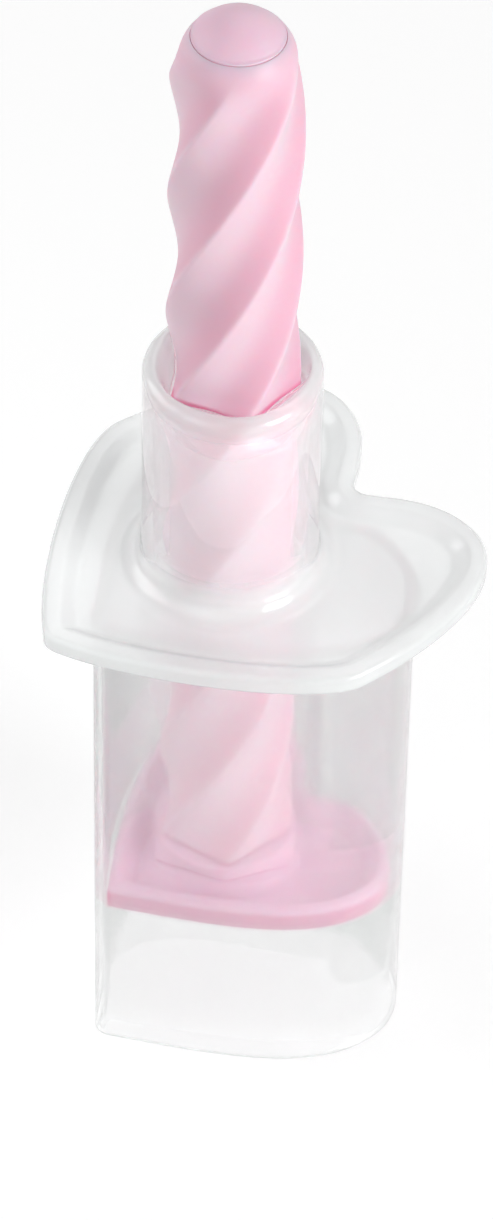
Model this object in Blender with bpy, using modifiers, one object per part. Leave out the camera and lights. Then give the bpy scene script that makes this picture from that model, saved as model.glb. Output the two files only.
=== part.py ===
"""Heart ice cream sandwich maker, modelled in metres with +Z up.

A clear heart-shaped cutter stands on its cutting edge. A twisted handle with five ridges runs
through the five-sided guide hole of its collar and presses a heart-shaped plate down the
sleeve. The guide hole turns the handle as it goes down, and the plate, which can't turn in the
heart, swivels on a post at the foot of the handle. The collar's axis is the Z axis, the cutting edge
lies in z = 0, and the tip of the heart points to -Y.
"""

import math
from dataclasses import dataclass, replace

import bmesh
import bpy
import numpy as np

# Cutter body: sleeve
SLEEVE_HEIGHT = 0.1340
SLEEVE_WALL = 0.0020
EDGE_WIDTH = 0.0012
EDGE_TAPER = 0.0050
SLEEVE_FILLET = 0.0015

# Cutter body: heart tray round the collar
OVERHANG_SIDE = 0.0103
OVERHANG_LOBE = 0.0153
OVERHANG_NOTCH = 0.0081
OVERHANG_TIP = 0.0130
TRAY_HEIGHT = 0.0050
TRAY_FLOOR = 0.0027
BEAD_WIDTH = 0.0060
BEAD_ROUNDING = 0.0018

# Cutter body: collar
COLLAR_HEIGHT = 0.0550
COLLAR_RADIUS = 0.01955
COLLAR_WALL = 0.0025
COLLAR_FOOT_RADIUS = 0.0050
LIP_ROUNDING = 0.0026
LIP_DISH = 0.0028
GUIDE_DEPTH = 0.0032
GUIDE_CLEARANCE = 0.0005

# Plunger
REST_LIFT = 0.0420
CEILING_GAP = 0.0010
PLATE_CLEARANCE = 0.0010
PLATE_HEIGHT = 0.0070
PLATE_FLOOR = 0.0026
PLATE_ROUNDING = 0.0012
PLATE_RIM_WIDTH = 0.0065
PAD_RADIUS = 0.0162
PAD_FLARE = 0.0032
PAD_RISE = 0.0038
PAD_CHAMFER = 0.0005

# Handle
HANDLE_LENGTH = 0.2363
FOOT_RADIUS = 0.0153
TOP_RADIUS = 0.0142
DOME_HEIGHT = 0.0180
RIDGES = 5
FLUTE_DEPTH = 0.170
RIDGE_SOFTNESS = 0.15
LEAD = 0.1650
FOOT_RIDGE_ANGLE = math.radians(-32.5)
FLUTE_RUN_OUT = 0.0085
FADE_LENGTH = 0.0120
FOOT_ROUNDING = 0.0007
BORE_RADIUS = 0.0086

# Swivel and cap
SEAM_GAP = 0.0005
BEARING_HEIGHT = 0.0080
POST_RADIUS = 0.0060
RUNNING_GAP = 0.0004
TOUCH_GAP = 0.0003
WASHER_RADIUS = 0.0078
WASHER_THICKNESS = 0.0012
SCREW_RADIUS = 0.0020
SCREW_LENGTH = 0.0105
HEAD_RADIUS = 0.0038
HEAD_HEIGHT = 0.0026
SOCKET_RADIUS = 0.0016
SOCKET_DEPTH = 0.0014
CAP_RADIUS = 0.0096
CAP_EDGE = 0.0026
CAP_SKIRT = 0.0080
CAP_WALL = 0.0018

# How finely round shapes are cut
HEART_POINTS = 80
HANDLE_POINTS = 40
TURNED_STEPS = 40
HANDLE_RING_STEP = 0.0058
ARC_RINGS = 3


@dataclass(frozen=True)
class Heart:
    """Half of a heart, mirrored in x = 0: a rounded notch, a lobe, a hip and a rounded tip.

    Each curve between two of them is a cubic whose handles have the lengths named here. The
    half angles at notch and tip are measured from the Y axis.
    """

    notch_y: float
    notch_half_angle: float
    notch_radius: float
    notch_handle: float
    lobe_x: float
    lobe_y: float
    lobe_handle_in: float
    lobe_handle_out: float
    hip_x: float
    hip_y: float
    hip_handle_up: float
    hip_handle_down: float
    tip_y: float
    tip_half_angle: float
    tip_radius: float
    tip_handle: float


SLEEVE_HEART = Heart(
    notch_y=0.0262,
    notch_half_angle=math.radians(42),
    notch_radius=0.0020,
    notch_handle=0.0060,
    lobe_x=0.0165,
    lobe_y=0.0331,
    lobe_handle_in=0.0075,
    lobe_handle_out=0.0100,
    hip_x=0.0377,
    hip_y=0.0138,
    hip_handle_up=0.0135,
    hip_handle_down=0.0165,
    tip_y=-0.0354,
    tip_half_angle=math.radians(48),
    tip_radius=0.0040,
    tip_handle=0.0260,
)

TRAY_HEART = replace(
    SLEEVE_HEART,
    notch_y=SLEEVE_HEART.notch_y + OVERHANG_NOTCH,
    notch_half_angle=math.radians(46),
    notch_radius=0.0035,
    lobe_x=0.0250,
    lobe_y=SLEEVE_HEART.lobe_y + OVERHANG_LOBE,
    lobe_handle_in=0.0120,
    lobe_handle_out=0.0190,
    hip_x=SLEEVE_HEART.hip_x + OVERHANG_SIDE,
    hip_y=0.0020,
    hip_handle_up=0.0140,
    hip_handle_down=0.0120,
    tip_y=SLEEVE_HEART.tip_y - OVERHANG_TIP,
    tip_half_angle=math.radians(64),
    tip_radius=0.0040,
    tip_handle=0.0180,
)

# Heights that follow from the sizes above
TRAY_TOP = SLEEVE_HEIGHT + TRAY_HEIGHT
TRAY_FLOOR_TOP = SLEEVE_HEIGHT + TRAY_FLOOR
COLLAR_TOP = TRAY_TOP + COLLAR_HEIGHT
GUIDE_TOP = COLLAR_TOP - LIP_DISH
GUIDE_BOTTOM = GUIDE_TOP - GUIDE_DEPTH
PLATE_TOP = REST_LIFT + PLATE_HEIGHT
PAD_TOP = PLATE_TOP + PAD_RISE
FOOT = PAD_TOP + SEAM_GAP
BEARING_TOP = FOOT + BEARING_HEIGHT
POST_TOP = BEARING_TOP + RUNNING_GAP
WASHER_BOTTOM = POST_TOP + TOUCH_GAP
WASHER_TOP = WASHER_BOTTOM + WASHER_THICKNESS
HEAD_BOTTOM = WASHER_TOP + TOUCH_GAP
DOME_CENTRE = FOOT + HANDLE_LENGTH - DOME_HEIGHT
CAP_SEAM = DOME_CENTRE + DOME_HEIGHT * math.sqrt(1 - (CAP_RADIUS / TOP_RADIUS) ** 2)
FLUTE_TOP = DOME_CENTRE + FLUTE_RUN_OUT
TRAVEL_UP = SLEEVE_HEIGHT - CEILING_GAP - PLATE_TOP

PINK = (0.87, 0.53, 0.68, 1.0)
CLEAR = (0.80, 0.81, 0.82, 1.0)
STEEL = (0.60, 0.60, 0.61, 1.0)


def clear_scene():
    """Remove every object that is already in the scene."""
    for obj in list(bpy.data.objects):
        bpy.data.objects.remove(obj, do_unlink=True)


def plastic(name, colour, roughness, metallic=0.0, transmission=0.0):
    """Return a Principled material."""
    material = bpy.data.materials.new(name)
    material.use_nodes = True
    shader = material.node_tree.nodes["Principled BSDF"]
    shader.inputs["Base Color"].default_value = colour
    shader.inputs["Roughness"].default_value = roughness
    shader.inputs["Metallic"].default_value = metallic
    shader.inputs["Transmission Weight"].default_value = transmission
    material.diffuse_color = colour
    return material


def cubic(start, start_handle, end_handle, end, count):
    """Return count points on a cubic curve, without its end."""
    t = np.linspace(0.0, 1.0, count, endpoint=False)[:, None]
    return (
        (1 - t) ** 3 * start
        + 3 * (1 - t) ** 2 * t * start_handle
        + 3 * (1 - t) * t**2 * end_handle
        + t**3 * end
    )


def heart_points(heart, count=48):
    """Return the outline of a heart as a dense closed polyline, clockwise from the notch."""

    def corner(y, half_angle, radius):
        """Return the rounding at x = 0 and the direction in which the outline leaves it."""
        turn = np.linspace(0.0, math.pi / 2 - half_angle, 8)
        arc = np.column_stack([radius * np.sin(turn), y + radius * (1 - np.cos(turn))])
        return arc, np.array([math.sin(half_angle), math.cos(half_angle)])

    notch, notch_way = corner(heart.notch_y, heart.notch_half_angle, heart.notch_radius)
    tip, tip_way = corner(heart.tip_y, heart.tip_half_angle, heart.tip_radius)
    lobe = np.array([heart.lobe_x, heart.lobe_y])
    hip = np.array([heart.hip_x, heart.hip_y])
    half = np.vstack(
        [
            notch[:-1],
            cubic(
                notch[-1],
                notch[-1] + heart.notch_handle * notch_way,
                lobe - [heart.lobe_handle_in, 0.0],
                lobe,
                count,
            ),
            cubic(
                lobe,
                lobe + [heart.lobe_handle_out, 0.0],
                hip + [0.0, heart.hip_handle_up],
                hip,
                count,
            ),
            cubic(
                hip,
                hip - [0.0, heart.hip_handle_down],
                tip[-1] + heart.tip_handle * tip_way,
                tip[-1],
                count,
            ),
            tip[::-1],
        ]
    )
    other_half = half[-2:0:-1] * [-1.0, 1.0]
    return np.vstack([half, other_half])


def inset(outline, depth):
    """Return a clockwise closed polyline moved inwards by depth, square to itself."""
    along = np.roll(outline, -1, axis=0) - np.roll(outline, 1, axis=0)
    inwards = np.column_stack([along[:, 1], -along[:, 0]])
    return outline + depth * inwards / np.linalg.norm(inwards, axis=1)[:, None]


def ring_angles(count, turn=0.0):
    """Return count angles round the axis, evenly spaced from turn."""
    return turn + 2 * math.pi * np.arange(count) / count


def heart_ring(heart, depth, z):
    """Return the ring of a heart, inset by depth, at the angles that all body rings share."""
    outline = inset(heart_points(heart), depth)
    angles = np.arctan2(outline[:, 1], outline[:, 0])
    radii = np.hypot(outline[:, 0], outline[:, 1])
    order = np.argsort(angles)
    wanted = ring_angles(HEART_POINTS)
    found = np.interp(wanted, angles[order], radii[order], period=2 * math.pi)
    return ring(found, wanted, z)


def circle_ring(radius, z, count=HEART_POINTS, turn=0.0):
    """Return a round ring."""
    return ring(np.full(count, radius), ring_angles(count, turn), z)


def ring(radii, angles, z):
    """Return points at these radii and angles round the axis, all at height z."""
    return np.column_stack([radii * np.cos(angles), radii * np.sin(angles), np.full(len(angles), z)])


def ridge_turn(z):
    """Return the angle of a ridge of the handle at height z."""
    return FOOT_RIDGE_ANGLE + 2 * math.pi * (z - FOOT) / LEAD


def ridge_radius(z):
    """Return the handle's radius over its ridges at height z, slimmer upwards, then domed."""
    if z > DOME_CENTRE:
        return TOP_RADIUS * math.sqrt(1 - ((z - DOME_CENTRE) / DOME_HEIGHT) ** 2)
    share = (z - FOOT) / (DOME_CENTRE - FOOT)
    return FOOT_RADIUS + (TOP_RADIUS - FOOT_RADIUS) * share


def dome(rise):
    """Return radius and height of the point of the dome at this angle above its centre."""
    return TOP_RADIUS * math.cos(rise), DOME_CENTRE + DOME_HEIGHT * math.sin(rise)


def fluted(radius, angles_from_ridge, depth):
    """Return the radii of a section whose ridges have this radius, with flutes depth * radius deep."""
    wave = np.sqrt(np.sin(RIDGES * angles_from_ridge / 2) ** 2 + RIDGE_SOFTNESS**2) - RIDGE_SOFTNESS
    return radius * (1 - depth * wave / (math.hypot(1, RIDGE_SOFTNESS) - RIDGE_SOFTNESS))


def side_depth():
    """Return how far the straight side of a regular polygon lies inside its corners, as a share."""
    return 1 - math.cos(math.pi / RIDGES)


def guide_radius():
    """Return the guide hole's radius over its corners, clear of the widest section that reaches it."""
    return ridge_radius(GUIDE_BOTTOM - TRAVEL_UP) + GUIDE_CLEARANCE


def guide_ring(z, widened=0.0):
    """Return a ring of the guide hole, which turns with the handle's ridges."""
    angles = ring_angles(HEART_POINTS)
    radii = fluted(guide_radius(), angles - ridge_turn(z), side_depth()) + widened
    return ring(radii, angles, z)


def quarter(count=ARC_RINGS):
    """Yield (sine, cosine) of angles inside a quarter turn, ends included."""
    for step in range(count + 1):
        angle = math.pi / 2 * step / count
        yield math.sin(angle), math.cos(angle)


def loft(name, rings, material, shift=0, start_pole=None, end_pole=None):
    """Join rings of equally many points into one closed skin.

    Without poles the last ring joins the first, shift points further on, so the skin closes
    round a through hole. With poles each end closes on a point.
    """
    mesh = bpy.data.meshes.new(name)
    bm = bmesh.new()
    rows = [[bm.verts.new(point) for point in points] for points in rings]
    count = len(rows[0])
    pairs = [(low, high, 0) for low, high in zip(rows, rows[1:])]
    if start_pole is None:
        pairs.append((rows[-1], rows[0], shift))
    for low, high, offset in pairs:
        for k in range(count):
            after = (k + 1) % count
            bm.faces.new(
                (low[k], low[after], high[(after + offset) % count], high[(k + offset) % count])
            )
    if start_pole is not None:
        for pole, row in ((start_pole, rows[0]), (end_pole, rows[-1])):
            centre = bm.verts.new(pole)
            for k in range(count):
                bm.faces.new((centre, row[k], row[(k + 1) % count]))
    bmesh.ops.recalc_face_normals(bm, faces=bm.faces)
    bm.to_mesh(mesh)
    bm.free()
    return finished(name, mesh, material)


def finished(name, mesh, material):
    """Link an object with this mesh to the scene, shaded smooth but for its sharp edges."""
    obj = bpy.data.objects.new(name, mesh)
    mesh.materials.append(material)
    mesh.shade_smooth()
    mesh.set_sharp_from_angle(angle=math.radians(40))
    collection().objects.link(obj)
    return obj


def collection(name="ice_cream_sandwich_maker"):
    """Return the collection of this name, made and linked when it is first asked for."""
    found = bpy.data.collections.get(name)
    if found is None:
        found = bpy.data.collections.new(name)
        bpy.context.scene.collection.children.link(found)
    return found


def turned(name, profile, material, closed=False):
    """Turn a profile of (radius, z) points, given down its outer side, round the Z axis."""
    mesh = bpy.data.meshes.new(name)
    edges = [(k, k + 1) for k in range(len(profile) - 1)]
    if closed:
        edges.append((len(profile) - 1, 0))
    mesh.from_pydata([(radius, 0.0, z) for radius, z in profile], edges, [])
    obj = bpy.data.objects.new(name, mesh)
    mesh.materials.append(material)
    collection().objects.link(obj)
    screw = obj.modifiers.new("turn", "SCREW")
    screw.axis = "Z"
    screw.angle = 2 * math.pi
    screw.steps = TURNED_STEPS
    screw.render_steps = TURNED_STEPS
    screw.use_merge_vertices = True
    screw.merge_threshold = 0.00001
    return obj


def cutter_body(material):
    """Sleeve, heart tray and collar in one moulding, as one skin from the cutting edge round."""
    rings = [heart_ring(SLEEVE_HEART, 0.0, 0.0)]
    for sine, cosine in quarter():
        rings.append(
            heart_ring(
                SLEEVE_HEART,
                -SLEEVE_FILLET * (1 - cosine),
                SLEEVE_HEIGHT - SLEEVE_FILLET * (1 - sine),
            )
        )
    for sine, cosine in quarter():
        rings.append(
            heart_ring(
                TRAY_HEART, BEAD_ROUNDING * (1 - sine), SLEEVE_HEIGHT + BEAD_ROUNDING * (1 - cosine)
            )
        )
    for sine, cosine in quarter():
        rings.append(
            heart_ring(
                TRAY_HEART, BEAD_ROUNDING * (1 - cosine), TRAY_TOP - BEAD_ROUNDING * (1 - sine)
            )
        )
    fall = TRAY_TOP - TRAY_FLOOR_TOP
    slope_width = BEAD_WIDTH - 2 * BEAD_ROUNDING
    for share in (0.25, 0.5, 0.75, 1.0):
        eased = share * share * (3 - 2 * share)
        rings.append(
            heart_ring(
                TRAY_HEART, BEAD_WIDTH - slope_width * (1 - share), TRAY_TOP - fall * eased
            )
        )
    for sine, cosine in quarter(4):
        rings.append(
            circle_ring(
                COLLAR_RADIUS + COLLAR_FOOT_RADIUS * (1 - sine),
                TRAY_FLOOR_TOP + COLLAR_FOOT_RADIUS * (1 - cosine),
            )
        )
    for sine, cosine in quarter():
        rings.append(
            circle_ring(
                COLLAR_RADIUS - LIP_ROUNDING * (1 - cosine), COLLAR_TOP - LIP_ROUNDING * (1 - sine)
            )
        )
    crest = circle_ring(COLLAR_RADIUS - LIP_ROUNDING, COLLAR_TOP)
    mouth = guide_ring(GUIDE_TOP, widened=LIP_ROUNDING / 4)
    halfway = (crest + mouth) / 2
    halfway[:, 2] += LIP_DISH / 6
    rings += [halfway, mouth]
    for share in (0.15, 0.5, 1.0):
        rings.append(guide_ring(GUIDE_TOP - GUIDE_DEPTH * share))
    bore = COLLAR_RADIUS - COLLAR_WALL
    rings.append(circle_ring(bore, GUIDE_BOTTOM - COLLAR_WALL / 2))
    rings.append(circle_ring(bore, SLEEVE_HEIGHT))
    rings.append(heart_ring(SLEEVE_HEART, SLEEVE_WALL, SLEEVE_HEIGHT))
    rings.append(heart_ring(SLEEVE_HEART, SLEEVE_WALL, EDGE_TAPER))
    rings.append(heart_ring(SLEEVE_HEART, EDGE_WIDTH, 0.0))
    return loft("cutter_body", rings, material)


def handle_ring(z, shrink=0.0, fade=1.0):
    """Return a ring of the handle's outside, its points turned with the ridges."""
    angles = ring_angles(HANDLE_POINTS)
    turn = ridge_turn(z)
    radii = fluted(ridge_radius(z), angles, FLUTE_DEPTH * fade) - shrink
    return ring(radii, angles + turn, z)


def twist_handle(material):
    """Hollow handle: twisted ridges, a domed top with the cap's seat, a bearing at its foot."""
    rings = [handle_ring(FOOT, FOOT_ROUNDING), handle_ring(FOOT + FOOT_ROUNDING)]
    start = FOOT + FOOT_ROUNDING
    steps = math.ceil((FLUTE_TOP - start) / HANDLE_RING_STEP)
    for step in range(1, steps + 1):
        z = start + (FLUTE_TOP - start) * step / steps
        fade = min(1.0, (FLUTE_TOP - z) / FADE_LENGTH)
        rings.append(handle_ring(z, fade=fade * fade * (3 - 2 * fade)))
    seat = CAP_RADIUS + TOUCH_GAP
    turn = ridge_turn(FLUTE_TOP)
    run_out = math.asin(FLUTE_RUN_OUT / DOME_HEIGHT)
    last = math.acos(seat / TOP_RADIUS)
    for step in range(1, ARC_RINGS + 1):
        radius, z = dome(run_out + (last - run_out) * step / ARC_RINGS)
        rings.append(circle_ring(radius, z, HANDLE_POINTS, turn))
    seat_z = CAP_SEAM - CAP_EDGE - TOUCH_GAP
    for radius, z in (
        (seat, seat_z),
        (BORE_RADIUS, seat_z),
        (BORE_RADIUS, BEARING_TOP),
        (POST_RADIUS + RUNNING_GAP, BEARING_TOP),
        (POST_RADIUS + RUNNING_GAP, FOOT),
    ):
        rings.append(circle_ring(radius, z, HANDLE_POINTS, turn))
    shift = round((turn - ridge_turn(FOOT)) / (2 * math.pi / HANDLE_POINTS))
    return loft("twist_handle", rings, material, shift=shift)


def end_cap(material):
    """Plain domed plug that closes the top of the handle."""
    first_rise = math.acos(CAP_RADIUS / TOP_RADIUS)
    profile = []
    for step in range(6):
        profile.append(dome(math.pi / 2 - (math.pi / 2 - first_rise) * step / 5))
    profile[0] = (0.0, DOME_CENTRE + DOME_HEIGHT)
    bottom = CAP_SEAM - CAP_EDGE
    skirt = BORE_RADIUS - TOUCH_GAP
    profile += [
        (CAP_RADIUS, bottom),
        (skirt, bottom),
        (skirt, bottom - CAP_SKIRT),
        (skirt - CAP_WALL, bottom - CAP_SKIRT),
        (skirt - CAP_WALL, bottom),
        (0.0, bottom),
    ]
    return turned("end_cap", profile, material)


def pusher_plate(material):
    """Heart plate with a raised rim, a pad under the handle and the swivel post."""
    outside = SLEEVE_WALL + PLATE_CLEARANCE
    rings = []
    for sine, cosine in quarter(2):
        rings.append(
            heart_ring(
                SLEEVE_HEART,
                outside + PLATE_ROUNDING * (1 - sine),
                REST_LIFT + PLATE_ROUNDING * (1 - cosine),
            )
        )
    rim_rounding = PLATE_RIM_WIDTH / 3
    for sine, cosine in quarter():
        rings.append(
            heart_ring(
                SLEEVE_HEART,
                outside + rim_rounding * (1 - cosine),
                PLATE_TOP - rim_rounding * (1 - sine),
            )
        )
    floor = REST_LIFT + PLATE_FLOOR
    for share in (0.3, 0.65, 1.0):
        eased = share * share * (3 - 2 * share)
        rings.append(
            heart_ring(
                SLEEVE_HEART,
                outside + rim_rounding + (PLATE_RIM_WIDTH - rim_rounding) * share,
                PLATE_TOP - (PLATE_TOP - floor) * eased,
            )
        )
    rim_foot = np.hypot(rings[-1][:, 0], rings[-1][:, 1])
    for sine, cosine in quarter():
        room = rim_foot - PAD_CHAMFER * (1 + sine) / 2
        radii = np.minimum(PAD_RADIUS + PAD_FLARE * (1 - sine), np.maximum(room, PAD_RADIUS))
        rings.append(ring(radii, ring_angles(HEART_POINTS), floor + PAD_FLARE * (1 - cosine)))
    screw_hole = SCREW_RADIUS + TOUCH_GAP
    hole_bottom = HEAD_BOTTOM - SCREW_LENGTH - TOUCH_GAP
    for radius, z in (
        (PAD_RADIUS, PAD_TOP - PAD_CHAMFER),
        (PAD_RADIUS - PAD_CHAMFER, PAD_TOP),
        (POST_RADIUS, PAD_TOP),
        (POST_RADIUS, POST_TOP),
        (screw_hole, POST_TOP),
        (screw_hole, hole_bottom),
    ):
        rings.append(circle_ring(radius, z))
    return loft(
        "pusher_plate",
        rings,
        material,
        start_pole=(0.0, 0.0, REST_LIFT),
        end_pole=(0.0, 0.0, hole_bottom),
    )


def retaining_washer(material):
    """Washer on top of the post, wider than the bearing under it."""
    hole = SCREW_RADIUS + TOUCH_GAP
    profile = [
        (hole, WASHER_TOP),
        (WASHER_RADIUS, WASHER_TOP),
        (WASHER_RADIUS, WASHER_BOTTOM),
        (hole, WASHER_BOTTOM),
    ]
    return turned("retaining_washer", profile, material, closed=True)


def retaining_screw(material):
    """Screw down through the washer into the post, with a hexagon socket."""
    top = HEAD_BOTTOM + HEAD_HEIGHT
    edge = HEAD_HEIGHT / 4
    profile = [
        (0.0, top),
        (HEAD_RADIUS - edge, top),
        (HEAD_RADIUS, top - edge),
        (HEAD_RADIUS, HEAD_BOTTOM),
        (SCREW_RADIUS, HEAD_BOTTOM),
        (SCREW_RADIUS, HEAD_BOTTOM - SCREW_LENGTH + SCREW_RADIUS / 2),
        (SCREW_RADIUS / 2, HEAD_BOTTOM - SCREW_LENGTH),
        (0.0, HEAD_BOTTOM - SCREW_LENGTH),
    ]
    screw = turned("retaining_screw", profile, material)
    bpy.ops.mesh.primitive_cylinder_add(
        vertices=6,
        radius=SOCKET_RADIUS,
        depth=2 * SOCKET_DEPTH,
        location=(0.0, 0.0, top),
    )
    socket = bpy.context.active_object
    socket.name = "socket_cutter"
    socket.hide_render = True
    socket.display_type = "WIRE"
    for holder in list(socket.users_collection):
        holder.objects.unlink(socket)
    collection("cutters").objects.link(socket)
    cut = screw.modifiers.new("socket", "BOOLEAN")
    cut.operation = "DIFFERENCE"
    cut.solver = "EXACT"
    cut.object = socket
    return screw


def main():
    """Model every piece at rest, the plate a little way up the sleeve."""
    clear_scene()
    clear = plastic("clear polypropylene", CLEAR, 0.22, transmission=0.7)
    pink = plastic("pink moulded plastic", PINK, 0.38)
    steel = plastic("stainless steel", STEEL, 0.3, metallic=1.0)
    cutter_body(clear)
    twist_handle(pink)
    end_cap(pink)
    pusher_plate(pink)
    retaining_washer(steel)
    retaining_screw(steel)


main()
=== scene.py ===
"""Heart ice cream sandwich maker: the fine surfaces, finishes, light and camera over its frame.

Everything is in metres in the frame's own axes: +Z up along the handle, the cutting edge in
z = 0 and the tip of the heart towards -Y. Every sub-assembly is a class that holds its sizes,
builds its meshes and dresses them.
"""

from __future__ import annotations

import logging
import math
from dataclasses import dataclass, replace
from enum import Enum
from typing import Any, Iterator, Sequence

import bmesh
import bpy
import numpy as np
from mathutils import Matrix, Vector

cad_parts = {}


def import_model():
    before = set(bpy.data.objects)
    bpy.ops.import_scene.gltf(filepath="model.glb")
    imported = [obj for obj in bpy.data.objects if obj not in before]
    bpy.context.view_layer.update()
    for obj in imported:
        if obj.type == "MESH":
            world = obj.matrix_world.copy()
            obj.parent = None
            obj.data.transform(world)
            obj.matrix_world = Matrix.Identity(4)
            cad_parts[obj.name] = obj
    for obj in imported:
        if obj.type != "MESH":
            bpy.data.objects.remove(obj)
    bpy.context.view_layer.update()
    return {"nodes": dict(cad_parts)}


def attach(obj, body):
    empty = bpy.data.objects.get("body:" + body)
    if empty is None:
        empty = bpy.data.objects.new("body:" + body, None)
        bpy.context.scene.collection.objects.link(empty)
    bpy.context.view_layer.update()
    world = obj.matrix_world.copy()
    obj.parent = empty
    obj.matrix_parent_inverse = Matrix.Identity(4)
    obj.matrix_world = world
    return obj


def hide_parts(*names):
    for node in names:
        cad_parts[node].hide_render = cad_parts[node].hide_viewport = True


log = logging.getLogger("sandwich_maker")

# What the hints call a node's socket, and its row of them.
Socket = bpy.types.NodeSocket
Sockets = bpy.types.bpy_prop_collection

MM = 0.001
FULL_TURN = 2 * math.pi
WHITE = "#FFFFFF"
# Points nearer to each other than this are one point, and shorter edges are dissolved.
SAME_POINT = 0.002 * MM
SHORTEST_EDGE = 0.001 * MM
# Faces that meet at a steeper angle are shaded with a sharp edge.
SHARP_ANGLE = math.radians(50)
# Most values of a noise texture lie between these.
NOISE_LOW, NOISE_HIGH = 0.3, 0.7
# A wave texture goes through this many radians in one unit at scale 1.
WAVE_RADIANS = 20


class Body(Enum):
    """The rigid bodies that pieces ride on."""

    CUTTER = "cutter"
    PLUNGER = "plunger"
    HANDLE = "handle"


class Slot(Enum):
    """The record's material slots for new pieces; place takes them but does not read them."""

    CLEAR = "clear_plastic"
    PINK = "pink_plastic"
    CAP = "pink_cap"


def linear(hex_colour: str) -> tuple[float, float, float, float]:
    """Turn an sRGB hex colour into a linear one, by the numbers of the sRGB curve.

    Args:
        hex_colour: A colour such as "#F0C0D6".

    Returns:
        Linear red, green and blue, and an alpha of 1.
    """
    values = []
    for start in (1, 3, 5):
        share = int(hex_colour[start : start + 2], 16) / 255
        values.append(share / 12.92 if share <= 0.04045 else ((share + 0.055) / 1.055) ** 2.4)
    return values[0], values[1], values[2], 1.0


def add_node(
    tree: bpy.types.NodeTree,
    kind: str,
    settings: dict[str, Any] | None = None,
    inputs: dict[str | int, Any] | None = None,
) -> bpy.types.Node:
    """Add a node to a tree, with its settings, values and links.

    Args:
        tree: The tree that gets the node.
        kind: The node's type, such as "ShaderNodeMath".
        settings: Properties of the node by name.
        inputs: Values or sockets for its inputs, by socket name or number.

    Returns:
        The new node.
    """
    node = tree.nodes.new(kind)
    for name, value in (settings or {}).items():
        setattr(node, name, value)
    for key, value in (inputs or {}).items():
        if isinstance(value, Socket):
            tree.links.new(value, node.inputs[key])
        else:
            node.inputs[key].default_value = value
    return node


def quarter(count: int) -> Iterator[tuple[float, float]]:
    """Yield sine and cosine of the angles that divide a quarter turn.

    Args:
        count: The number of steps from 0 to a quarter turn.

    Yields:
        Sine and cosine of each angle, both ends included.
    """
    for step in range(count + 1):
        angle = math.pi / 2 * step / count
        yield math.sin(angle), math.cos(angle)


def shares(count: int) -> Iterator[float]:
    """Yield count equal shares, the last of them 1."""
    for step in range(1, count + 1):
        yield step / count


def eased(share: float) -> float:
    """Return a share from 0 to 1 with both its ends slowed down."""
    return share * share * (3 - 2 * share)


# Sections


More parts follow.
